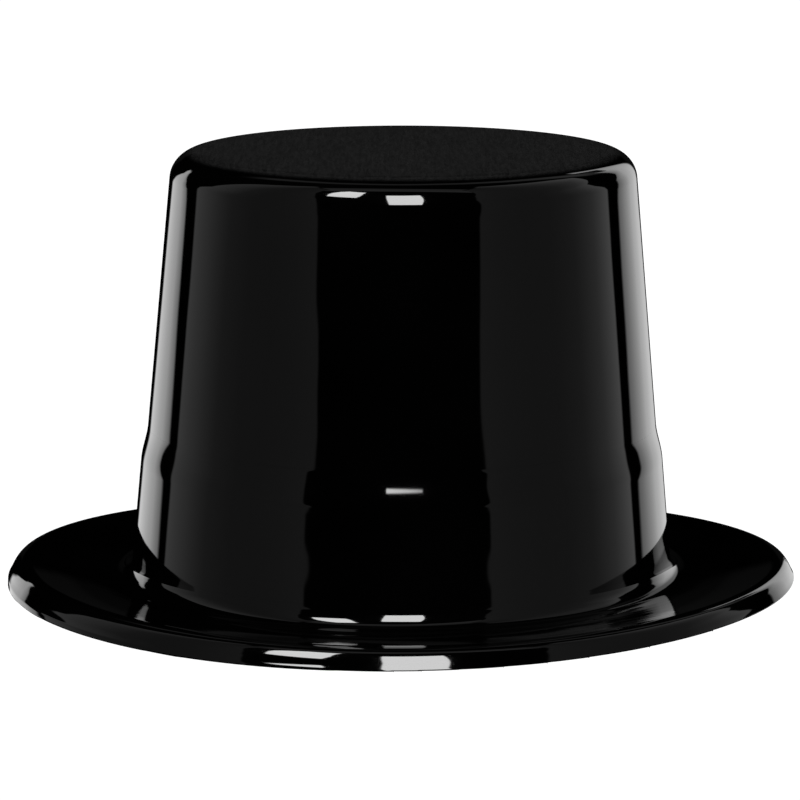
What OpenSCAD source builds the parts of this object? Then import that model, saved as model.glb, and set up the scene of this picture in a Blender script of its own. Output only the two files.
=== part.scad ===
// Top hat of formed plastic sheet: a crown cup, a band sleeve, a brim and a soft inner sweatband.
// Z is up and the hat stands on the trimmed edge of its brim at Z = 0.
// X runs across the head and Y along it. Every piece is a profile revolved about Z, and one stretch
// along Y then makes all of them the same head oval, so that they keep their fit. Only the rim of
// the brim has an oval of its own, which is rounder.

/* [Head oval] */
// Width across the band where it meets the brim
foot_w = 182; // [150:1:230]
// Length of the head oval for each unit of its width
oval_ratio = 1.2; // [1.05:0.01:1.25]
// Length of the brim's outline for each unit of its width
brim_ratio = 1.08; // [1:0.01:1.2]

/* [Sheet] */
// Thickness of the formed sheet
gauge = 0.8; // [0.5:0.1:1.4]
// Slope of the crown's wall and of the band, in degrees from upright
draft = 5.1; // [0:0.1:12]
// Clearance for glue between two pieces
bond_gap = 0.15; // [0.05:0.05:0.4]

/* [Crown] */
// Height of the flat top above the surface that the hat stands on
crown_h = 148; // [100:1:220]
// Radius of the rounded edge of the top
top_edge_r = 9; // [4:0.5:25]

/* [Band] */
// Height of the band's upper edge above the surface that the hat stands on
band_top = 56.5; // [46:0.5:80]
// Height over which the band swells from the crown's wall to its full size
shoulder_h = 12; // [4:1:24]
// How far the band stands proud of the crown's wall
band_step = 1.3; // [0.4:0.1:4]

/* [Brim] */
// Width of the brim over its trimmed edge
brim_w = 269; // [250:1:340]
// Height of the brim's flat part above the surface that the hat stands on
brim_h = 7.1; // [6:0.1:14]
// Radius of the fillet between the brim and the band
foot_fillet = 5.8; // [2:0.1:10]
// Height of the upright stretch between that fillet and the ledge for the crown
ledge_rise = 1; // [0.5:0.5:6]
// Radius inside the bend where the flat part turns down into the lip
bend_r = 4.4; // [2:0.1:6]
// Radius of the hollow where the lip flares out to its trimmed edge
flare_r = 25; // [10:1:30]

/* [Collar and sweatband] */
// Height of the collar that stands up inside the crown
collar_h = 24; // [12:1:36]
// Thickness of the sweatband
sweatband_t = 2; // [1:0.5:5]
// Height of the sweatband
sweatband_h = 22; // [10:1:34]

/* [Hidden] */
// Number of straight steps in a full turn, where a curve is drawn as a mesh
$fn = 180;
// Turn of each straight step in a round stretch of a profile, in degrees
arc_step = 9;
// Number of straight steps along the band's shoulder
shoulder_steps = 12;
// Height of the ledge that the crown and the band stand on, of their lower edges and of the collar
ledge_z = brim_h + foot_fillet + ledge_rise;
seat_z = ledge_z + bond_gap;
collar_top = ledge_z + collar_h;
// Height of the crown's joggle, where its wall steps in to pass behind the band
joggle_z = band_top + bond_gap;
// Slopes of the lip in degrees from level: below the bend, at its steepest part and at the trimmed edge
slopes = [54, 62, 57];
// Height of the straight stretch at the trimmed edge
trim_h = 1.2 * gauge;
// Radius, before the stretch, of the line in the flat part where the head oval meets the brim's own oval
join_r = face_r(brim_h) + foot_fillet + 2;

// How far each face lies inside the band's outer face, measured level
crown_in = band_step;
band_in = crown_in + gauge;
foot_in = band_in + bond_gap;
collar_in = foot_in + gauge + bond_gap;
sweatband_in = collar_in + gauge + bond_gap;

// Radius of the band's outer face at a height, and of a face that lies inside it
function face_r(z, inside = 0) = foot_w / 2 - tan(draft) * (z - brim_h) - inside;
function face_at(z, inside = 0) = [face_r(z, inside), z];

// Points on an arc about a centre, from one angle to another
function arc(centre, r, from, to) =
    let (steps = ceil(abs(to - from) / arc_step))
    [for (i = [0 : steps]) let (a = from + (to - from) * i / steps) centre + r * [cos(a), sin(a)]];

// Centre of a circle at height z that touches a drafted face, from outside it (side 1) or inside it (-1)
function touching(z, r, inside, side) = [face_r(z, inside) + side * r / cos(draft), z];

// The same points in the opposite order
function reverse(points) = [for (i = [len(points) - 1 : -1 : 0]) points[i]];

// Points on arcs that follow on from one another smoothly. Each arc is a radius, below zero in a hollow,
// and the two directions that the face looks in at its ends
function follow(start, arcs, i = 0) =
    i == len(arcs) ? [] :
    let (from = arcs[i][1],
         points = arc(start - arcs[i][0] * [cos(from), sin(from)], arcs[i][0], from, arcs[i][2]))
    concat(points, follow(points[len(points) - 1], arcs, i + 1));

// Revolves a profile in two halves, each stretched to an oval
module oval(ratio = oval_ratio) {
    for (half = [0, 180])
        scale([1, ratio, 1]) rotate(half) rotate_extrude(angle = 180) children();
}

// The crown's cup: flat top, rounded edge and wall, with a joggle where the wall passes behind the band
module crown_shell() {
    edge = touching(crown_h - top_edge_r, top_edge_r, crown_in, -1);
    outer = concat(arc(edge, top_edge_r, 90, draft),
                   [face_at(joggle_z, crown_in), face_at(joggle_z, foot_in), face_at(seat_z, foot_in)]);
    inner = concat([face_at(seat_z, foot_in + gauge), face_at(joggle_z, foot_in + gauge),
                    face_at(joggle_z + 2 * gauge, crown_in + gauge)],
                   arc(edge, top_edge_r - gauge, draft, 90));
    color("#111111") oval()
        polygon(concat([[0, crown_h]], outer, inner, [[0, crown_h - gauge]]));
}

// The band: a sleeve round the crown's foot that swells out below its upper edge along an S-shaped curve
module hat_band() {
    shoulder = [for (i = [0 : shoulder_steps])
        let (t = i / shoulder_steps, swell = (1 - cos(180 * t)) / 2)
        face_at(band_top - shoulder_h * t, crown_in * (1 - swell))];
    color("#161616") oval()
        polygon(concat([face_at(seat_z, band_in), face_at(band_top, band_in)], shoulder, [face_at(seat_z)]));
}

// The brim: collar, ledge and fillet on the head oval, flat part, bend and lip on the brim's own
module brim_shell() {
    fillet = touching(brim_h + foot_fillet, foot_fillet, 0, 1);
    flat_end = join_r + 2;
    foot = concat([face_at(collar_top, collar_in), face_at(ledge_z, collar_in), face_at(ledge_z)],
                  arc(fillet, foot_fillet, 180 + draft, 270),
                  [[flat_end, brim_h], [flat_end, brim_h - gauge]],
                  arc(fillet, foot_fillet + gauge, 270, 180 + draft),
                  [face_at(ledge_z - gauge, gauge), face_at(ledge_z - gauge, collar_in + gauge),
                   face_at(collar_top, collar_in + gauge)]);
    flat_start = join_r - 8;
    rim = concat([[flat_start, brim_h]], lip_profile(0), reverse(lip_profile(gauge)),
                 [[flat_start, brim_h - gauge]]);
    color("#111111") {
        oval() polygon(foot);
        difference() {
            oval(brim_ratio) polygon(rim);
            oval() square([join_r, brim_h + gauge]);
        }
    }
}

// The bend, lip and flare on a face that lies a depth behind the outer one. The lip's own radius is what
// fills the height that the bend, the flare and the trimmed edge leave
function lip_profile(depth) =
    let (turns = [for (slope = slopes) 90 - slope],
         bend = bend_r + gauge,
         lip = (brim_h - trim_h - bend * (1 - sin(turns[0])) - flare_r * (sin(turns[2]) - sin(turns[1])))
               / (sin(turns[0]) - sin(turns[1])),
         line = lip_line(bend, lip, 0, turns),
         shift = brim_w / 2 - line[len(line) - 1][0])
    [for (point = lip_line(bend, lip, depth, turns)) point + [shift, 0]];

// The same line from a start above the origin, with its straight stretch down to the trimmed edge
function lip_line(bend, lip, depth, turns) =
    let (points = follow([0, brim_h - depth],
                         [[bend - depth, 90, turns[0]], [lip - depth, turns[0], turns[1]],
                          [-flare_r - depth, turns[1], turns[2]]]),
         end = points[len(points) - 1])
    concat(points, [[end[0] + end[1] * tan(turns[2]), 0]]);

// The sweatband: a soft strip that lines the collar
module sweatband() {
    top = collar_top - bond_gap;
    foot = top - sweatband_h;
    color("#3a3a3c") oval()
        polygon([face_at(foot, sweatband_in), face_at(foot, sweatband_in + sweatband_t),
                 face_at(top, sweatband_in + sweatband_t), face_at(top, sweatband_in)]);
}

crown_shell();
hat_band();
brim_shell();
sweatband();
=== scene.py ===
# %% [markdown]
# # A top hat of formed plastic sheet
# The real hat is a costume top hat. Heated plastic sheet was sucked over a mould, so every edge is
# a small radius and every wall leans inwards, and the sheet is the same 0.8 mm all over.
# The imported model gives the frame: four solids, all on one body, in metres. This lesson keeps that
# frame and dresses each solid with a finer piece: crown, band, brim and the soft sweatband inside.

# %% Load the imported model
import math

import bpy
from mathutils import Euler, Matrix, Vector


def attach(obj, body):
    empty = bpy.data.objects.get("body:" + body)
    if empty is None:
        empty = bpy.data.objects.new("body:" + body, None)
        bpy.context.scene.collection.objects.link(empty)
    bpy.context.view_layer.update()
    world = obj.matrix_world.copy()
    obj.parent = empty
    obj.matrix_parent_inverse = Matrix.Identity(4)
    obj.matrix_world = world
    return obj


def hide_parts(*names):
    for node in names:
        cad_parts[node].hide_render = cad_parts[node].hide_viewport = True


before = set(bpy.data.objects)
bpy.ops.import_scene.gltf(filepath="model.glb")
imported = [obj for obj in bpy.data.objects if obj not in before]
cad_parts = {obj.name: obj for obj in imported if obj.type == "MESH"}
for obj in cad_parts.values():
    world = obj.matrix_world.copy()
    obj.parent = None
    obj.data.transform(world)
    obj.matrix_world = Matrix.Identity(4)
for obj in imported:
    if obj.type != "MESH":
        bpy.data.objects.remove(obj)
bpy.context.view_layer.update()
scene = bpy.context.scene

# %% [markdown]
# ## Sizes
# All the sizes are real ones in millimetres, and heights are above the table that the hat stands on.
# They are close to those of the solids. Some differ by a few tenths of a millimetre, and the rim by
# about two, because on a mirror finish such small changes shift the highlights and the outline.

# %% Sizes of the hat in millimetres
MM = 0.001
ROUND = 288            # straight steps round each oval
SHEET = 0.8            # thickness of the sheet
GLUE = 0.15            # clearance for glue between hidden faces
SEAM = 0.02            # the seams that show are filled, so only a hair's breadth is left
FOOT = 90.82           # half the width of the band where it meets the brim
DRAFT = math.radians(4.99)  # slope of the walls from upright
HEAD_RATIO = 1.2       # length of the crown for each unit of its width
RIM_RATIO = 1.08       # length of the brim for each unit of its width
PLATE = 7.1            # height of the brim's flat part at the rim
RISE = 0.52            # how far the flat part rises from the fillet to the rim
FILLET = 6.22          # radius of the fillet between the flat part and the band
UPRIGHT = 1.0          # upright stretch between the fillet and the ledge
LEDGE = PLATE - RISE + FILLET + UPRIGHT  # height of the ledge that crown and band stand on
TOP = 148.0            # height of the crown's flat top
TOP_EDGE = 9.26        # radius of the crown's upper edge
BAND_TOP = 56.3        # height of the band's upper edge
SHOULDER = 11.85       # height of the band's S-shaped shoulder
STEP = 1.32            # how far the band stands proud of the crown
print("ledge under the crown and the band, mm:", round(LEDGE, 2))

# %% [markdown]
# ## Profiles
# Each piece starts as a profile: points of half widths and heights on one side of the hat. They could
# be drawn as a curve by hand. Here straight stretches and arcs are worked out, so that a size can be
# changed in one place, and one more step turns the points into ovals.

# %% Points along walls, arcs and ovals
def face(height, inside=0.0):
    """Half the width of the leaning wall at a height, or of a face that lies inside it."""
    return FOOT - math.tan(DRAFT) * (height - PLATE) - inside


def arc(centre, radius, start, end, steps):
    """Points on an arc in a profile, from one angle to another."""
    turns = [math.radians(start + (end - start) * i / steps) for i in range(steps + 1)]
    return [(centre[0] + radius * math.cos(t), centre[1] + radius * math.sin(t)) for t in turns]


def line(start, end, steps):
    """Points on a straight stretch of a profile, without the first one."""
    return [tuple(a + (b - a) * i / steps for a, b in zip(start, end)) for i in range(1, steps + 1)]


def oval(profile, ratio):
    """Turns profile points into ovals: half width, half length and height."""
    return [(r, r * ratio, z) for r, z in profile]


print("wall at the crown's top edge, mm:", round(face(TOP, STEP), 2))

# %% [markdown]
# ## Pulling a wall through ovals
# A revolved shape could be drawn as a profile and spun. These pieces are ovals whose length changes
# from the crown to the rim, so instead an oval edge is extruded and scaled again and again, as a
# potter pulls up a wall. Each oval is half a width, half a length and a height.

# %% Start an oval and pull it
MERGE = 0.002          # points closer than this become one


def start_oval(name, first):
    """Adds a circle at its size and height, makes it the first oval and stays in edit mode."""
    width, length, height = first
    bpy.ops.object.select_all(action="DESELECT")
    bpy.ops.mesh.primitive_circle_add(vertices=ROUND, radius=width * MM, location=(0, 0, height * MM))
    piece = bpy.context.object
    piece.name = piece.data.name = name
    bpy.ops.object.transform_apply(location=True)
    bpy.ops.object.mode_set(mode="EDIT")
    bpy.ops.mesh.select_all(action="SELECT")
    bpy.ops.transform.resize(value=(1, length / width, 1), center_override=(0, 0, 0))
    return piece


def pull(ovals):
    """Extrudes the selected oval edge through the ovals that follow the first one."""
    for (w0, l0, z0), (w1, l1, z1) in zip(ovals, ovals[1:]):
        bpy.ops.mesh.extrude_region_move(TRANSFORM_OT_translate={"value": (0, 0, (z1 - z0) * MM)})
        bpy.ops.transform.resize(value=(w1 / w0, l1 / l0, 1), center_override=(0, 0, 0))


def close_up(piece):
    """Merges doubles, turns the faces outwards and leaves edit mode."""
    bpy.ops.mesh.select_all(action="SELECT")
    bpy.ops.mesh.remove_doubles(threshold=MERGE * MM)
    bpy.ops.mesh.normals_make_consistent(inside=False)
    bpy.ops.object.mode_set(mode="OBJECT")
    print(piece.name, "has", len(piece.data.polygons), "faces")


print("each oval has", ROUND, "points")

# %% [markdown]
# ## Modifiers and painted weights
# Thickness and small shifts come from modifiers that are applied at once, so that each piece ends as a
# plain mesh. A vertex group says how strongly a shift acts at each point. It could be painted with a
# brush, but a rule in code paints it the same way each time.

# %% Modify, paint and shade
FOLD = math.radians(35)  # folds sharper than this keep a hard edge


def modify(piece, kind, **settings):
    """Adds a modifier with its settings and applies it."""
    bpy.context.view_layer.objects.active = piece
    modifier = piece.modifiers.new(kind.title(), kind)
    for key, value in settings.items():
        setattr(modifier, key, value)
    bpy.ops.object.modifier_apply(modifier=modifier.name)


def thicken(piece):
    """Gives a wall the thickness of the sheet, on its inner side."""
    modify(piece, "SOLIDIFY", thickness=SHEET * MM, offset=-1, use_even_offset=True)


def paint(piece, name, rule):
    """Paints a vertex group with weights from 0 to 1 that a rule gives for a place in millimetres."""
    group = piece.vertex_groups.new(name=name)
    for vertex in piece.data.vertices:
        group.add([vertex.index], rule(*(c / MM for c in vertex.co)), "REPLACE")


def shift(piece, group, direction, far):
    """Moves a painted group in a direction, by its weights times a distance in millimetres."""
    modify(piece, "DISPLACE", vertex_group=group, direction=direction, mid_level=0, strength=far * MM)


def smooth(piece):
    """Shades smooth, apart from the sheet's cut edges and sharp folds."""
    bpy.ops.object.select_all(action="DESELECT")
    piece.select_set(True)
    bpy.context.view_layer.objects.active = piece
    bpy.ops.object.shade_smooth_by_angle(angle=FOLD)


print("folds over", round(math.degrees(FOLD)), "degrees keep a hard edge")

# %% [markdown]
# ## A front that isn't quite true
# On the real hat the band's front lies a little flatter than an oval, as the highlight on its shoulder
# shows. It could be pushed in with proportional editing. Here a painted weight draws every piece back
# by the same rule, so that the pieces keep their fit.

# %% Draw back the front
FRONT_DRAW = 0.38      # how far the front lies back from the true oval
DRAW_AT = 14.0         # where it lies back most, to the right of the middle
DRAW_WIDTH = 45.0      # how far to each side it fades
DRAW_HEIGHT = 20.0     # height above the ledge over which it sets in


def clamp(value):
    """Keeps a value between 0 and 1."""
    return min(1.0, max(0.0, value))


def ease(share):
    """A smooth way from 0 to 1."""
    share = clamp(share)
    return share * share * (3 - 2 * share)


def band_front(x, y, z):
    """Weight of the flatter front: full in the middle below the shoulder, none at foot and upper edge."""
    if y >= 0:
        return 0.0
    up_and_down = ease((BAND_TOP - z) / SHOULDER) * ease((z - LEDGE) / DRAW_HEIGHT)
    return up_and_down * math.exp(-((x - DRAW_AT) / DRAW_WIDTH) ** 2)


def draw_front(piece):
    """Draws the front of a piece back by the rule."""
    paint(piece, "front", band_front)
    shift(piece, "front", "Y", FRONT_DRAW)


print("the band's front lies back by up to", FRONT_DRAW, "mm")

# %% [markdown]
# ## The crown
# The crown is a deep cup with a flat top. Behind the band its wall steps in by the thickness of the
# band, so that the two pieces lie flush. A cup could be spun, but the pulled oval keeps its own ratio:
# it goes up from the hidden foot, over the rounded edge and in across the top, where the last small
# oval is merged into one point.

# %% Model the crown
LAST_OVAL = 3.0        # half the width of the last oval before it is merged
foot_in = STEP + SHEET + GLUE
seat = LEDGE + SEAM
joggle = BAND_TOP + SEAM
edge_centre = (face(TOP - TOP_EDGE, STEP) - TOP_EDGE / math.cos(DRAFT), TOP - TOP_EDGE)
edge = arc(edge_centre, TOP_EDGE, math.degrees(DRAFT), 90, steps=18)
crown_profile = [(face(seat, foot_in), seat)]
crown_profile += line(crown_profile[0], (face(joggle, foot_in), joggle), steps=10)
crown_profile.append((face(joggle, STEP), joggle))
crown_profile += line(crown_profile[-1], edge[0], steps=22)
crown_profile += edge[1:]
crown_profile += line(edge[-1], (LAST_OVAL, TOP), steps=16)
crown_ovals = oval(crown_profile, HEAD_RATIO)
crown = start_oval("crown", crown_ovals[0])
pull(crown_ovals)
bpy.ops.mesh.merge(type="CENTER")
close_up(crown)
draw_front(crown)
thicken(crown)
smooth(crown)

# %% [markdown]
# ## The band
# The band is a sleeve round the foot of the crown. Its upper edge starts flush with the crown's wall
# and swells out along an S-shaped curve before it follows the same lean. A bevel would give a round
# shoulder, so the curve is drawn instead, as half a cosine wave.

# %% Model the band
def swelling(steps):
    """The shoulder's profile, from the band's upper edge down."""
    points = []
    for i in range(steps + 1):
        height = BAND_TOP - SHOULDER * i / steps
        points.append((face(height, STEP * (1 + math.cos(math.pi * i / steps)) / 2), height))
    return points


band_profile = swelling(steps=24)
band_profile += line(band_profile[-1], (face(seat), seat), steps=12)
band_ovals = oval(band_profile, HEAD_RATIO)
band = start_oval("band", band_ovals[0])
pull(band_ovals)
close_up(band)
draw_front(band)
thicken(band)
smooth(band)

# %% [markdown]
# ## The brim
# The brim starts as a collar inside the crown, turns out as a ledge under the band, runs down a
# fillet and out as a flat plate that rises a little. At the rim the sheet bends down into a lip that
# flares, which stiffens it, and its edge is rolled in. One edge is pulled all the way, because the
# ovals then grow rounder across the plate without a seam.

# %% Draw the brim's profile
COLLAR = 24.0          # height of the collar above the ledge
BEND_START = 125.85    # half the width of the flat plate
# Arcs of the rim: a radius, below zero in a hollow, the two directions that the face looks in at the
# ends of the arc, in degrees above level, and a number of straight steps
BEND = (5.12, 92.3, 36, 17)
LIP = (13, 36, 24.9, 8)
FLARE = (-16, 24.9, 31.5, 7)
ROLLED_EDGE = (1.6, 31.5, 2, 8)
TAIL = 5.0             # straight stretch below the rolled edge, to be trimmed
TAIL_LEAN = math.radians(2)


def follow(start, arcs):
    """Points on arcs that follow on from one another smoothly."""
    points = [start]
    for radius, first, last, steps in arcs:
        turn = math.radians(first)
        centre = (points[-1][0] - radius * math.cos(turn), points[-1][1] - radius * math.sin(turn))
        points += arc(centre, radius, first, last, steps)[1:]
    return points


collar_in = foot_in + SHEET + GLUE
collar_top = LEDGE + COLLAR
collar = [(face(collar_top, collar_in), collar_top)]
collar += line(collar[0], (face(LEDGE, collar_in), LEDGE), steps=6)
collar += line(collar[-1], (face(LEDGE), LEDGE), steps=3)
fillet_top = PLATE - RISE + FILLET
fillet_centre = (face(fillet_top) + FILLET / math.cos(DRAFT), fillet_top)
fillet = arc(fillet_centre, FILLET, 180 + math.degrees(DRAFT), 270, steps=16)
rim = follow((BEND_START, PLATE), [BEND, LIP, FLARE, ROLLED_EDGE])
tail_end = (rim[-1][0] + TAIL * math.tan(TAIL_LEAN), rim[-1][1] - TAIL)
rim += line(rim[-1], tail_end, steps=6)
brim_ovals = oval(collar + fillet, HEAD_RATIO)
rim_ovals = oval(rim, RIM_RATIO)
plate = line(brim_ovals[-1], rim_ovals[0], steps=20)
for i, (width, length, _) in enumerate(plate, start=1):
    brim_ovals.append((width, length, PLATE - RISE + RISE * (i / len(plate)) ** 2))
brim_ovals += rim_ovals[1:]
print("brim profile of", len(brim_ovals), "ovals")

# %% [markdown]
# ## The brim's spring
# The sheet springs back out of its mould, so the brim's sides stand a little higher than its front and
# back, a touch before it is trimmed and more afterwards. It could be bent with a lattice. A painted
# weight is simpler: it carries the rise out over the plate, full at the sides of the rim.

# %% How far the spring reaches
SPRING_BEFORE = 0.52   # rise of the sides before the edge is trimmed
SPRING_AFTER = 3.59    # and after it
plate_inner = (fillet[-1][0], fillet[-1][0] * HEAD_RATIO)
plate_outer = rim_ovals[0]


def reach(x, y, oval_size):
    """How far out a place is, as a share of an oval."""
    return math.hypot(x / oval_size[0], y / oval_size[1])


def across_plate(x, y):
    """From 0 at the fillet to 1 at the rim's bend."""
    from_fillet = reach(x, y, plate_inner) - 1
    to_bend = 1 - reach(x, y, plate_outer)
    if from_fillet <= 0 or to_bend <= 0:
        return float(to_bend <= 0)
    return from_fillet / (from_fillet + to_bend)


def side_rise(x, y, z):
    """Weight of the brim's rise: full at the sides of the rim, none at front, back and fillet."""
    share = across_plate(x, y)
    return share * share * x * x / (x * x + (y / RIM_RATIO) ** 2)


print("the brim's sides rise by", round(SPRING_BEFORE + SPRING_AFTER, 2), "mm in all")

# %% [markdown]
# ## The cut edge
# The formed sheet is trimmed with one cut, which slopes a little from left to right, and the cut edge
# is rounded off. The bisect operator trims it. A bevel then rounds the sharp edges that are found by
# their angle, and only those of the cut, which lie below the plate.

# %% Round the cut edge
EDGE_ROUND = 0.36      # radius along the cut edge
CUT_ANGLE = math.radians(60)
CUT_BELOW = PLATE - 0.5  # all of the cut edge lies lower than this


def round_edge(piece):
    """Rounds the sheet's cut edge: the sharp edges below the plate are selected and bevelled."""
    bpy.ops.object.mode_set(mode="EDIT")
    bpy.ops.mesh.select_all(action="DESELECT")
    bpy.ops.mesh.select_mode(type="EDGE")
    bpy.ops.mesh.edges_select_sharp(sharpness=CUT_ANGLE)
    bpy.ops.object.mode_set(mode="OBJECT")
    points = piece.data.vertices
    for edge_line in piece.data.edges:
        if edge_line.select and max(points[i].co.z for i in edge_line.vertices) > CUT_BELOW * MM:
            edge_line.select = False
    bpy.ops.object.mode_set(mode="EDIT")
    bpy.ops.mesh.bevel(offset=EDGE_ROUND * MM, segments=4, affect="EDGES")
    bpy.ops.mesh.select_mode(type="VERT")
    bpy.ops.object.mode_set(mode="OBJECT")


print("cut edge rounded by", EDGE_ROUND, "mm")

# %% [markdown]
# Now the brim is pulled, trimmed with its sides a touch raised and sprung further. It is one thin
# surface until then, because a surface is easier to cut. Its thickness and rounded edge come last.

# %% Pull the brim, trim its edge and let it spring
TRIM_HEIGHT = 0.4      # height of the cut at the middle of the front
TRIM_TILT = 0.0107     # slope of the cut from left to right
RIM_SHIFT = 0.07       # how far the rim sits to the right of the crown
brim = start_oval("brim", brim_ovals[0])
pull(brim_ovals)
close_up(brim)
draw_front(brim)
paint(brim, "side rise", side_rise)
paint(brim, "rim", lambda x, y, z: across_plate(x, y))
shift(brim, "side rise", "Z", SPRING_BEFORE)
bpy.ops.object.mode_set(mode="EDIT")
bpy.ops.mesh.select_all(action="SELECT")
bpy.ops.mesh.bisect(plane_co=(0, 0, TRIM_HEIGHT * MM), plane_no=(-TRIM_TILT, 0, 1), clear_inner=True)
bpy.ops.object.mode_set(mode="OBJECT")
shift(brim, "side rise", "Z", SPRING_AFTER)
shift(brim, "rim", "X", RIM_SHIFT)
thicken(brim)
round_edge(brim)
smooth(brim)
print("lowest point of the brim, mm:", round(min(v.co.z for v in brim.data.vertices) / MM, 3))

# %% [markdown]
# ## The sweatband
# A soft strip of foam covered in cloth lines the collar, where the head sits. Cloth could be simulated
# over it, but the strip is thin and glued all along, so it is shaped directly. Its section, a tall box
# with crowned sides, is pulled round as one closed loop of ovals.

# %% Draw the sweatband's section
STRIP_HEIGHT = 21.4
STRIP_CLEAR = 0.3      # how far its upper edge lies below the collar's
STRIP_HALF = 1.0       # from the glued face to the middle of the section
STRIP_CROWN = 0.98     # half its thickness where the sides are crowned out most
SQUARE_UP = 0.35       # the lower, the squarer the section is at its upper and lower edges
SQUARE_OUT = 0.6       # and on its sides
SECTION_STEPS = 36
strip_in = collar_in + SHEET + GLUE + STRIP_HALF
strip_top = collar_top - STRIP_CLEAR
strip_foot = strip_top - STRIP_HEIGHT
section = []
for i in range(SECTION_STEPS):
    turn = 2 * math.pi * i / SECTION_STEPS
    upward = math.copysign(abs(math.sin(turn)) ** SQUARE_UP, math.sin(turn))
    outward = math.copysign(abs(math.cos(turn)) ** SQUARE_OUT, math.cos(turn))
    height = (strip_top + strip_foot) / 2 + upward * STRIP_HEIGHT / 2
    section.append((face(height, strip_in) + outward * STRIP_CROWN, height))
section.append(section[0])
print("sweatband section of", SECTION_STEPS, "points")
print("its lower and upper edge, mm:", round(strip_foot, 1), round(strip_top, 1))

# %% [markdown]
# The cloth is drawn tight over the foam, so it puckers a little all round on the side towards the
# head, and its two ends meet in a seam at the back. Two waves that don't keep step make the puckers
# look sewn and not counted.

# %% Model the sweatband
PUCKER_DEPTH = 0.7     # depth of the seam
PUCKER_SHARE = 0.35    # depth of a pucker for each unit of the seam's
PUCKERS = 46           # shallow folds all round
LESSER_PUCKERS = 31    # a second wave of them
PUCKER_LEAN = 0.2      # how the second wave leans, in radians for each millimetre of height
PUCKER_FADE = 0.9      # how far behind the crowned side they fade
BACK_RADIUS = 100.0    # about half the length of the strip's oval
END_SEAM = 2.2         # half the width of the seam at the back


def pucker(x, y, z):
    """Weight of the folds and of the seam at the back, on the side towards the head."""
    about = math.atan2(x * HEAD_RATIO, -y)
    inner = clamp((face(z, strip_in) - math.hypot(x, y / HEAD_RATIO)) / PUCKER_FADE)
    middle = math.sin(math.pi * clamp((z - strip_foot) / STRIP_HEIGHT))
    lesser = math.sin(LESSER_PUCKERS * about + 1.0 + PUCKER_LEAN * z)
    folds = 0.5 + 0.3 * math.sin(PUCKERS * about) + 0.2 * lesser
    seam = math.exp(-((math.pi - abs(about)) * BACK_RADIUS / END_SEAM) ** 2)
    return inner * max(PUCKER_SHARE * folds * middle, seam)


strip_ovals = oval(section, HEAD_RATIO)
sweatband = start_oval("sweatband_strip", strip_ovals[0])
pull(strip_ovals)
close_up(sweatband)
paint(sweatband, "pucker", pucker)
draw_front(sweatband)
shift(sweatband, "pucker", "NORMAL", -PUCKER_DEPTH)
smooth(sweatband)

# %% [markdown]
# ## Materials
# Colours are written as sRGB hex values, as read off a colour chip, and turned to linear here.
# Nodes could be wired by hand in the shader editor. One small function does the same in code: it adds
# a node with its settings and links.

# %% Helpers for materials
def linear(chip):
    """Turns an sRGB hex value into linear red, green, blue and alpha."""
    parts = [int(chip[i:i + 2], 16) / 255 for i in (1, 3, 5)]
    return [p / 12.92 if p <= 0.04045 else ((p + 0.055) / 1.055) ** 2.4 for p in parts] + [1.0]


def put(tree, kind, feeds=None, **settings):
    """Adds a node, sets its properties, and sets or links its inputs."""
    made = tree.nodes.new(kind)
    for key, value in settings.items():
        setattr(made, key, value)
    for socket, value in (feeds or {}).items():
        if isinstance(value, bpy.types.NodeSocket):
            tree.links.new(value, made.inputs[socket])
        else:
            made.inputs[socket].default_value = value
    return made


def new_material(name):
    """A material with an empty node tree and its output."""
    material = bpy.data.materials.new(name)
    material.use_nodes = True
    material.node_tree.nodes.clear()
    return material, material.node_tree, material.node_tree.nodes.new("ShaderNodeOutputMaterial")


print("a chip of #808080 is", round(linear("#808080")[0], 3), "linear")

# %% [markdown]
# ## Gloss black polystyrene sheet
# The shells are high-impact polystyrene with a gloss cap layer, vacuum formed: deep black and
# mirror-like. A painted texture would need unwrapping. Noise on Object coordinates doesn't, and keeps
# its real scale. The eye gets edges of reflections that waver a little where the sheet sagged, a
# trace of orange peel, and fine ripples where the sides of the brim were stretched.

# %% Sags, ripples and orange peel
SAG = 38.0             # millimetres across one sag of the sheet
SAG_DEPTH = 0.1
PEEL = 5.0             # millimetres across one dimple of the orange peel
PEEL_DEPTH = 0.1
PEEL_STRENGTH = 0.015
RIPPLE = 2.75          # millimetres from one ripple to the next, outwards
RIPPLE_DEPTH = 0.12
RIPPLES_ROUND = 4.0    # ripples for each radian round the brim
sheet_plastic, tree, end = new_material("gloss black polystyrene sheet")
place = put(tree, "ShaderNodeTexCoord").outputs["Object"]
split = put(tree, "ShaderNodeSeparateXYZ", {"Vector": place})
sag = put(tree, "ShaderNodeTexNoise", {"Vector": place, "Scale": 1 / (SAG * MM), "Detail": 1.0})
peel = put(tree, "ShaderNodeTexNoise", {"Vector": place, "Scale": 1 / (PEEL * MM), "Detail": 2.0})
level = put(tree, "ShaderNodeCombineXYZ", {"X": split.outputs["X"], "Y": split.outputs["Y"], "Z": 0.0})
away = put(tree, "ShaderNodeVectorMath", {0: level.outputs[0]}, operation="LENGTH")
bearing = put(tree, "ShaderNodeVectorMath", {0: level.outputs[0]}, operation="NORMALIZE")
about = put(tree, "ShaderNodeSeparateXYZ", {"Vector": bearing.outputs[0]})
outward = put(tree, "ShaderNodeMath", {0: away.outputs["Value"], 1: 1 / (RIPPLES_ROUND * RIPPLE * MM)},
              operation="MULTIPLY")
polar = put(tree, "ShaderNodeCombineXYZ", {"X": about.outputs["X"], "Y": about.outputs["Y"],
                                           "Z": outward.outputs[0]})
ripple = put(tree, "ShaderNodeTexNoise", {"Vector": polar.outputs[0], "Scale": RIPPLES_ROUND, "Detail": 3.0})
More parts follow.
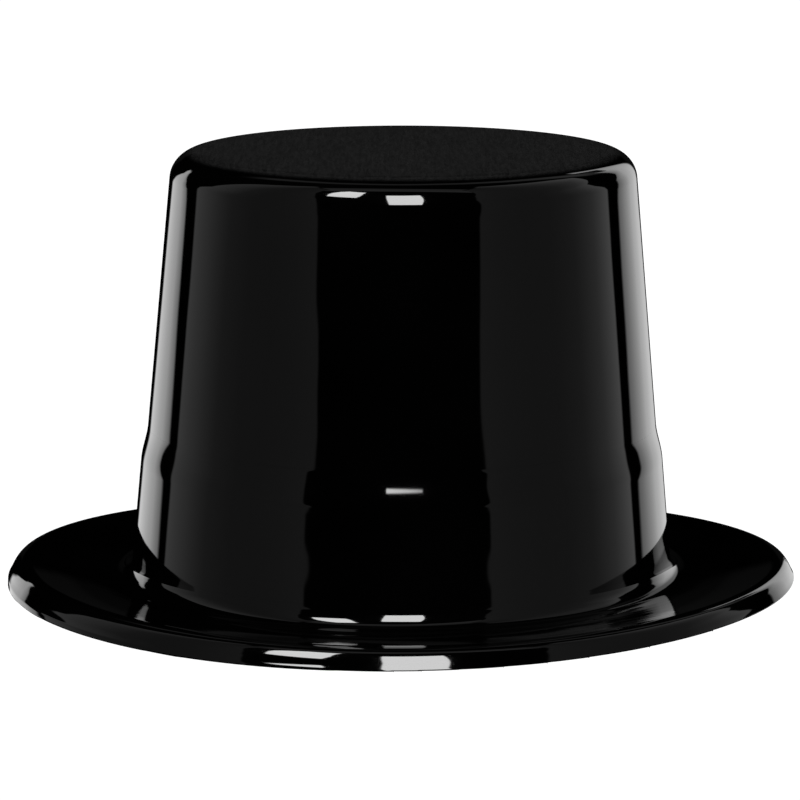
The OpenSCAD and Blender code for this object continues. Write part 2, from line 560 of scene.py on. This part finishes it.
on_brim = put(tree, "ShaderNodeMapRange", {"Value": split.outputs["Z"], "From Min": 16 * MM,
                                           "From Max": 12 * MM})
aside = put(tree, "ShaderNodeMath", {0: split.outputs["X"]}, operation="ABSOLUTE")
sides = put(tree, "ShaderNodeMapRange", {"Value": aside.outputs[0], "From Min": 40 * MM, "From Max": 95 * MM,
                                         "To Min": 0.02, "To Max": 0.25}, interpolation_type="SMOOTHSTEP")
rippled = put(tree, "ShaderNodeMath", {0: on_brim.outputs[0], 1: sides.outputs[0]}, operation="MULTIPLY")
bump = put(tree, "ShaderNodeBump", {"Height": sag.outputs["Fac"], "Strength": 1.0,
                                    "Distance": SAG_DEPTH * MM})
bump = put(tree, "ShaderNodeBump", {"Height": ripple.outputs["Fac"], "Strength": rippled.outputs[0],
                                    "Distance": RIPPLE_DEPTH * MM, "Normal": bump.outputs["Normal"]})
bump = put(tree, "ShaderNodeBump", {"Height": peel.outputs["Fac"], "Strength": PEEL_STRENGTH,
                                    "Distance": PEEL_DEPTH * MM, "Normal": bump.outputs["Normal"]})
print("sheet with sags of", SAG, "mm, peel of", PEEL, "mm and ripples of", RIPPLE, "mm")

# %% [markdown]
# The flat top touched the mould first and was stretched least, so it kept a satin skin with faint
# streaks along the way that the sheet was drawn. It could be a second material, but a mask by height
# fades it into the glossy edge. The eye gets a soft dark grey disc on a black hat.

# %% Satin top on a black sheet
TOP_FADE_FROM = TOP - 1.1
TOP_FADE_TO = TOP + 0.9  # above the top, so that some gloss is left all over it
STREAK = 0.9           # millimetres from one streak to the next
STREAK_LENGTH = 14.0   # how many times longer than wide a streak is
STREAK_TURN = math.radians(5.7)
flat_top = put(tree, "ShaderNodeMapRange", {"Value": split.outputs["Z"], "From Min": TOP_FADE_FROM * MM,
                                            "From Max": TOP_FADE_TO * MM}, interpolation_type="SMOOTHSTEP")
drawn = put(tree, "ShaderNodeMapping", {"Vector": place, "Rotation": (0, 0, STREAK_TURN),
                                        "Scale": (1.0, STREAK_LENGTH, 1.0)}, vector_type="TEXTURE")
streak = put(tree, "ShaderNodeTexNoise", {"Vector": drawn.outputs[0], "Scale": 1 / (STREAK * MM),
                                          "Detail": 3.0})
contrast = put(tree, "ShaderNodeMapRange", {"Value": streak.outputs["Fac"], "From Min": 0.3,
                                            "From Max": 0.7})
satin = put(tree, "ShaderNodeMix", {"Factor": contrast.outputs[0], "A": linear("#212121"),
                                    "B": linear("#333333")}, data_type="RGBA")
black = put(tree, "ShaderNodeMix", {"Factor": sag.outputs["Fac"], "A": linear("#000000"),
                                    "B": linear("#020202")}, data_type="RGBA")
tint = put(tree, "ShaderNodeMix", {"Factor": flat_top.outputs[0], "A": black.outputs["Result"],
                                   "B": satin.outputs["Result"]}, data_type="RGBA")
print("satin streaks", STREAK, "mm apart from", TOP_FADE_FROM, "mm up")

# %% [markdown]
# The low front and back of the brim's flat part are nearly black in the photograph, where a mirror
# would be brighter. The reason isn't known, so this is only a fit to what the eye gets: a mask by
# height and by the brim's own oval lowers the mirror's strength there, and leaves the raised sides and
# the lip alone. An export drops a linked mirror strength, so there the plate is as glossy as the rest.

# %% A duller plate, and the finished plastic
DULL_OUT_TO = 126.2    # half width where the duller part ends
DULL_OUT_FULL = 124.5  # and where it is full
DULL_UP_TO = 8.8       # height where it ends
DULL_UP_FULL = 7.7     # and below which it is full
GLOSS = 0.5            # mirror strength of a plastic
DULL = 0.03            # and of the duller part
rounder = put(tree, "ShaderNodeVectorMath", {0: level.outputs[0], 1: (1.0, 1 / RIM_RATIO, 1.0)},
              operation="MULTIPLY")
rim_out = put(tree, "ShaderNodeVectorMath", {0: rounder.outputs[0]}, operation="LENGTH")
before_bend = put(tree, "ShaderNodeMapRange", {"Value": rim_out.outputs["Value"],
                                               "From Min": DULL_OUT_TO * MM, "From Max": DULL_OUT_FULL * MM})
low_plate = put(tree, "ShaderNodeMapRange", {"Value": split.outputs["Z"], "From Min": DULL_UP_TO * MM,
                                             "From Max": DULL_UP_FULL * MM}, interpolation_type="SMOOTHSTEP")
dull = put(tree, "ShaderNodeMath", {0: before_bend.outputs[0], 1: low_plate.outputs[0]},
           operation="MULTIPLY")
gloss = put(tree, "ShaderNodeMapRange", {"Value": dull.outputs[0], "To Min": GLOSS, "To Max": DULL})
haze = put(tree, "ShaderNodeMapRange", {"Value": sag.outputs["Fac"], "To Min": 0.025, "To Max": 0.05})
shine = put(tree, "ShaderNodeBsdfPrincipled", {
    "Base Color": tint.outputs["Result"], "Roughness": haze.outputs[0], "IOR": 1.5,
    "Specular IOR Level": gloss.outputs[0], "Normal": bump.outputs["Normal"]})
tree.links.new(shine.outputs["BSDF"], end.inputs["Surface"])
print(sheet_plastic.name, "has", len(tree.nodes), "nodes")

# %% [markdown]
# ## Black cotton twill over foam
# The sweatband is woven cotton, a soft and slightly faded black. Real threads would be far too many
# faces, so waves along the strip's own length and height draw them. The eye gets diagonal ribs with
# finer threads across them, and a dusty sheen where the fibres stand off the cloth.

# %% Ribs and threads of the twill
RIB = 0.9              # millimetres from one rib to the next
THREAD = 0.4           # and from one thread to the next
WORN = 18.0            # millimetres across a faded place
WEAVE_DEPTH = 0.15
STRIP_RADIUS = 90.0    # mean radius of the strip
WAVE = 0.314           # a band of the wave texture at scale 1, in metres
twill, tree, end = new_material("black cotton twill over foam")
split = put(tree, "ShaderNodeSeparateXYZ", {"Vector": put(tree, "ShaderNodeTexCoord").outputs["Object"]})
front = put(tree, "ShaderNodeMath", {0: split.outputs["Y"], 1: -1.0}, operation="MULTIPLY")
about = put(tree, "ShaderNodeMath", {0: split.outputs["X"], 1: front.outputs[0]}, operation="ARCTAN2")
along = put(tree, "ShaderNodeMath", {0: about.outputs[0], 1: STRIP_RADIUS * MM}, operation="MULTIPLY")
rising = put(tree, "ShaderNodeMath", {0: along.outputs[0], 1: split.outputs["Z"]}, operation="ADD")
falling = put(tree, "ShaderNodeMath", {0: along.outputs[0], 1: split.outputs["Z"]}, operation="SUBTRACT")
slant = put(tree, "ShaderNodeCombineXYZ", {"X": rising.outputs[0], "Y": falling.outputs[0]})
rib = put(tree, "ShaderNodeTexWave", {"Vector": slant.outputs[0], "Scale": WAVE / (RIB * MM),
                                      "Distortion": 0.6}, bands_direction="X")
thread = put(tree, "ShaderNodeTexWave", {"Vector": slant.outputs[0], "Scale": WAVE / (THREAD * MM),
                                         "Distortion": 1.5}, bands_direction="Y")
wear = put(tree, "ShaderNodeTexNoise", {"Vector": slant.outputs[0], "Scale": 1 / (WORN * MM), "Detail": 4.0})
cloth_height = put(tree, "ShaderNodeMix", {"Factor": 0.35, "A": rib.outputs["Fac"],
                                           "B": thread.outputs["Fac"]})
weave = put(tree, "ShaderNodeBump", {"Height": cloth_height.outputs["Result"], "Strength": 0.6,
                                     "Distance": WEAVE_DEPTH * MM})
ribbed = put(tree, "ShaderNodeMix", {"Factor": cloth_height.outputs["Result"], "A": linear("#222224"),
                                     "B": linear("#434347")}, data_type="RGBA")
cloth_tint = put(tree, "ShaderNodeMix", {"Factor": wear.outputs["Fac"], "A": ribbed.outputs["Result"],
                                         "B": linear("#3e3e42")}, data_type="RGBA")
cloth = put(tree, "ShaderNodeBsdfPrincipled", {
    "Base Color": cloth_tint.outputs["Result"], "Roughness": 0.9, "Sheen Weight": 0.3,
    "Normal": weave.outputs["Normal"]})
tree.links.new(cloth.outputs["BSDF"], end.inputs["Surface"])
print(twill.name, "has ribs", RIB, "mm apart")

# %% [markdown]
# ## Fixing the pieces to the imported model
# Nothing on the hat moves, so all four pieces ride on the one body, root. Each stands for the solid of
# the same shape, which is hidden, and takes the finish made for it above.

# %% Finish, ride and replace
for shell in (crown, band, brim):
    shell.data.materials.append(sheet_plastic)
sweatband.data.materials.append(twill)

for piece, node_name, slot in (
        (crown, "crown_shell", "shell_plastic"),
        (band, "hat_band", "shell_plastic"),
        (brim, "brim_shell", "shell_plastic"),
        (sweatband, "sweatband", "sweatband_foam")):
    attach(piece, "root")
    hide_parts(node_name)
    print(piece.name, "stands for", node_name)

# %% [markdown]
# ## The studio
# A gloss black hat is drawn by what it mirrors, so the studio is part of its look. Lamps could light
# it, but their reflections would be plain boxes. Glowing cards are bent round the hat instead, each
# with its own outline, a glow that may change from side to side, and faded edges. The camera doesn't
# see them directly.

# %% Let a card glow
def light_up(made, glow, soft, upper=1.0):
    """Gives a card its glow: one strength, or several at even steps across, with faded edges.

    Soft is the faded share of the width and of the height. Upper is the glow at the upper edge for
    each unit at the lower one.
    """
    material, tree, end = new_material(made.name)
    spot = put(tree, "ShaderNodeTexCoord")
    split = put(tree, "ShaderNodeSeparateXYZ", {"Vector": spot.outputs["UV"]})
    ramp = put(tree, "ShaderNodeValToRGB", {"Fac": split.outputs["X"]})
    steps = glow if isinstance(glow, (list, tuple)) else (glow, glow)
    peak = max(steps)
    while len(ramp.color_ramp.elements) < len(steps):
        ramp.color_ramp.elements.new(0.5)
    for i, (stop, value) in enumerate(zip(ramp.color_ramp.elements, steps)):
        stop.position = i / (len(steps) - 1)
        stop.color = (value / peak, value / peak, value / peak, 1)
    rise = put(tree, "ShaderNodeMapRange", {"Value": split.outputs["Y"], "To Min": peak,
                                            "To Max": peak * upper})
    power = put(tree, "ShaderNodeMath", {0: ramp.outputs["Color"], 1: rise.outputs[0]}, operation="MULTIPLY")
    for axis, share in zip("XY", soft):
        inside = put(tree, "ShaderNodeMath", {0: split.outputs[axis], 1: 0.5}, operation="SUBTRACT")
        side = put(tree, "ShaderNodeMath", {0: inside.outputs[0]}, operation="ABSOLUTE")
        fall = put(tree, "ShaderNodeMapRange", {"Value": side.outputs[0], "From Min": 0.5,
                                                "From Max": 0.5 - share}, interpolation_type="SMOOTHSTEP")
        power = put(tree, "ShaderNodeMath", {0: power.outputs[0], 1: fall.outputs[0]}, operation="MULTIPLY")
    light = put(tree, "ShaderNodeEmission", {"Color": (1, 1, 1, 1), "Strength": power.outputs[0]})
    tree.links.new(light.outputs[0], end.inputs["Surface"])
    made.data.materials.append(material)
    made.visible_camera = False
    made.visible_shadow = False
    print(made.name, "glows up to", peak)


# %% [markdown]
# A card starts as a flat grid. Each of its points is then moved to a direction seen from the hat: an
# azimuth round it and an elevation above the table. Rows of an elevation and two azimuths give the
# card any outline, which a scaled plane couldn't have.

# %% Bend a card round the hat
DISTANCE = 4.0         # metres from the hat to every card
TURN = 5.66            # degrees that camera and cards stand to the right of the hat's own front
CARD_ACROSS = 32       # faces across a card
CARD_UP = 240          # and up it


def new_grid(name, across, up):
    """Adds a flat grid of a metre by a metre, with a number of faces across and up."""
    bpy.ops.object.select_all(action="DESELECT")
    bpy.ops.mesh.primitive_grid_add(x_subdivisions=across, y_subdivisions=up, size=1)
    made = bpy.context.object
    made.name = name
    return made


def direction(azimuth, elevation):
    """The way from the hat to a place in the studio. Azimuth 0 is the camera's side, 90 its right."""
    a = math.radians(TURN + azimuth)
    e = math.radians(elevation)
    return Vector((math.sin(a) * math.cos(e), -math.cos(a) * math.cos(e), math.sin(e)))


def card(name, rows, glow, soft):
    """A glowing curved card. Rows give an elevation and two azimuths in degrees, from the lowest row up.

    Soft is the faded edge in degrees.
    """
    made = new_grid(name, CARD_ACROSS, CARD_UP)
    low, high = rows[0][0], rows[-1][0]
    for vertex in made.data.vertices:
        across = vertex.co.x + 0.5
        up = low + (vertex.co.y + 0.5) * (high - low)
        next_row = next(i for i in range(1, len(rows)) if up <= rows[i][0] + 0.001)
        (e0, left0, right0), (e1, left1, right1) = rows[next_row - 1], rows[next_row]
        share = (up - e0) / (e1 - e0)
        left = left0 + (left1 - left0) * share
        right = right0 + (right1 - right0) * share
        vertex.co = DISTANCE * direction(left + (right - left) * across, up)
    width = sum(abs(row[2] - row[1]) for row in rows) / len(rows)
    light_up(made, glow, (soft / width, soft / (high - low)))


print("cards stand", DISTANCE, "m away")

# %% [markdown]
# Two bright soft boxes stand in front, high up: they give the crisp highlights on every rounded edge.
# Two dark grey panels at the sides wrap the walls in a dim sheen and leave the black middle between
# them. Their inner edges bend a little where the crown's wall ends and the band begins.

# %% Soft boxes and side panels
SOFT_BOX = 15.0        # glow of a soft box
card("front_soft_box", [(19.5, -3.4, 15.5), (40, -5.2, 18.4), (60.5, -7.6, 21)], SOFT_BOX, soft=0.6)
card("left_soft_box", [(46.5, -48.5, -26.8), (54, -53, -26), (60, -56, -27.5), (66, -57, -30),
                       (70.3, -54, -32)], SOFT_BOX, soft=0.8)
card("left_panel", [(-14, -127, -42.5), (1.3, -127, -42.4), (2, -127, -40.3), (2.7, -127, -38.8),
                    (4, -127, -40.1), (5, -127, -42.6), (7, -126.5, -43.6), (10, -126, -44),
                    (18, -119, -45), (31, -117, -48), (46, -116, -56), (60, -112, -68), (68, -112, -77)],
     (0.32, 0.25, 0.14, 0.12, 0.13, 0.15, 0.18), soft=1.5)
card("right_panel", [(-14, 46.5, 127), (1.3, 46.6, 127), (2, 45, 127), (2.7, 43.9, 127), (4, 44.5, 127),
                     (5, 45.4, 127), (7, 46.8, 126.5), (10, 47, 126), (18, 47.2, 122), (25, 47.4, 122),
                     (30, 47.5, 131), (38, 50, 140), (45, 53, 136), (60, 67, 122), (68, 76, 114)],
     (0.19, 0.16, 0.14, 0.13, 0.15, 0.25, 0.48), soft=1.5)

# %% [markdown]
# Two bright strips behind the hat draw its outline: a curved wall mirrors what is far behind it along
# its very edge. A very dim wall stands between them, so that flat parts don't mirror pure black.

# %% Strips and a wall behind
card("left_back_strip", [(-16, -166, -128), (-8, -163, -130), (-3, -160, -134), (1, -156, -137),
                         (8, -152, -139), (13, -150, -143), (20, -153, -149)],
     (1.2, 1.3, 1.3, 0.6), soft=2.0)
card("right_back_strip", [(-16, 126, 170), (-6, 131, 169), (0, 135, 167), (12, 138, 164), (18, 146, 162),
                          (36, 150, 158)],
     (0.5, 0.9, 1.2, 1.1, 0.8), soft=2.0)
card("back_wall", [(-4, 165, 195), (10, 165, 195)], 0.006, soft=2.0)

# %% [markdown]
# The satin top sees what hangs above. A dim white strip of ceiling, brighter at its front edge, gives
# it an even grey. It is flat and overhead, so it needs no bending.

# %% A white strip of ceiling
CEILING_WIDE = 10.0
CEILING_DEEP = 1.0
CEILING_AT = -0.36     # metres from the hat's middle, towards its front
CEILING_GLOW = 0.36
ceiling = new_grid("ceiling_strip", 2, 2)
for vertex in ceiling.data.vertices:
    vertex.co = (CEILING_WIDE * vertex.co.x, CEILING_AT + CEILING_DEEP * vertex.co.y, DISTANCE)
light_up(ceiling, CEILING_GLOW, (0.2, 0.1), upper=0.5)

# %% [markdown]
# A faint arch of light stands behind the hat. It is mirrored where a rounded edge turns over into a
# flat part, as a thin dim line. A card of rows can't turn over on itself, so the arch is a ribbon that
# follows a path.

# %% A faint arch of light behind
ARCH_WIDE = 12.0       # degrees from one edge of the ribbon to the other
ARCH_MIDDLE = direction(180, 40)


def arch(name, path, glow):
    """A glowing ribbon along a path of azimuths and elevations, round a point at the back."""
    made = new_grid(name, 66, 6)
    for vertex in made.data.vertices:
        spot = (vertex.co.x + 0.5) * (len(path) - 1)
        i = min(int(spot), len(path) - 2)
        at = direction(*path[i]).lerp(direction(*path[i + 1]), spot - i).normalized()
        from_middle = (at - ARCH_MIDDLE * at.dot(ARCH_MIDDLE)).normalized()
        vertex.co = DISTANCE * (at + from_middle * vertex.co.y * math.radians(ARCH_WIDE))
    light_up(made, glow, (0.12, 0.4))


arch("back_arch", [(-149, 40), (-149, 48), (-150, 55), (-155, 63), (-168, 67.5), (-181, 69), (-194, 67.5),
                   (-207, 62.5), (-212, 54), (-212.5, 44), (-213, 34), (-208, 24)], (0.1, 0.14, 0.16, 0.2))

# %% [markdown]
# ## Floor and surroundings
# The hat stands on plain white with no shadow and no horizon. A lit white floor would throw a grey
# glow on the lip, so this one glows by itself and isn't mirrored, and the white world is seen by the
# camera alone.

# %% White floor and surroundings
FLOOR_SIZE = 12
FLOOR_GLOW = 1.1
bpy.ops.object.select_all(action="DESELECT")
bpy.ops.mesh.primitive_plane_add(size=FLOOR_SIZE)
floor = bpy.context.object
floor.name = "studio_floor"
white_floor, tree, end = new_material("white studio floor")
floor_light = put(tree, "ShaderNodeEmission", {"Color": (1, 1, 1, 1), "Strength": FLOOR_GLOW})
tree.links.new(floor_light.outputs[0], end.inputs["Surface"])
floor.data.materials.append(white_floor)
floor.visible_glossy = False
floor.visible_diffuse = False

world = bpy.data.worlds.new("white studio")
scene.world = world
world.use_nodes = True
tree = world.node_tree
tree.nodes.clear()
seen_by = put(tree, "ShaderNodeLightPath")
sky = put(tree, "ShaderNodeBackground", {"Color": (1, 1, 1, 1),
                                         "Strength": seen_by.outputs["Is Camera Ray"]})
put(tree, "ShaderNodeOutputWorld", {"Surface": sky.outputs[0]})
print("floor of", FLOOR_SIZE, "m and a white world")

# %% [markdown]
# ## The camera
# A long lens from a little above keeps the walls nearly parallel. The camera stands to the right of
# the hat's front, and is rolled by a third of a degree as the photograph is. It could be aimed with a
# constraint, but angles give the same framing each run.

# %% Place the camera
LENS = 225.56          # millimetres, on a sensor 36 mm wide
CAMERA_AWAY = 1.6669   # metres from the hat's axis
CAMERA_UP = 0.32331    # metres above the table
LOOK_DOWN = math.radians(8.857)
LOOK_ASIDE = math.radians(0.031)
ROLL = 0.0053          # radians
camera_data = bpy.data.cameras.new("camera")
camera = bpy.data.objects.new("camera", camera_data)
scene.collection.objects.link(camera)
camera_data.sensor_width = 36
camera_data.lens = LENS
camera_data.clip_end = 50
turn = math.radians(TURN)
camera.location = (CAMERA_AWAY * math.sin(turn), -CAMERA_AWAY * math.cos(turn), CAMERA_UP)
aim = Euler((math.radians(90) - LOOK_DOWN, 0, turn + LOOK_ASIDE)).to_matrix()
camera.rotation_euler = (aim @ Matrix.Rotation(ROLL, 3, "Z")).to_euler()
scene.camera = camera
scene.view_settings.view_transform = "Standard"
print("camera at", [round(c, 3) for c in camera.location])
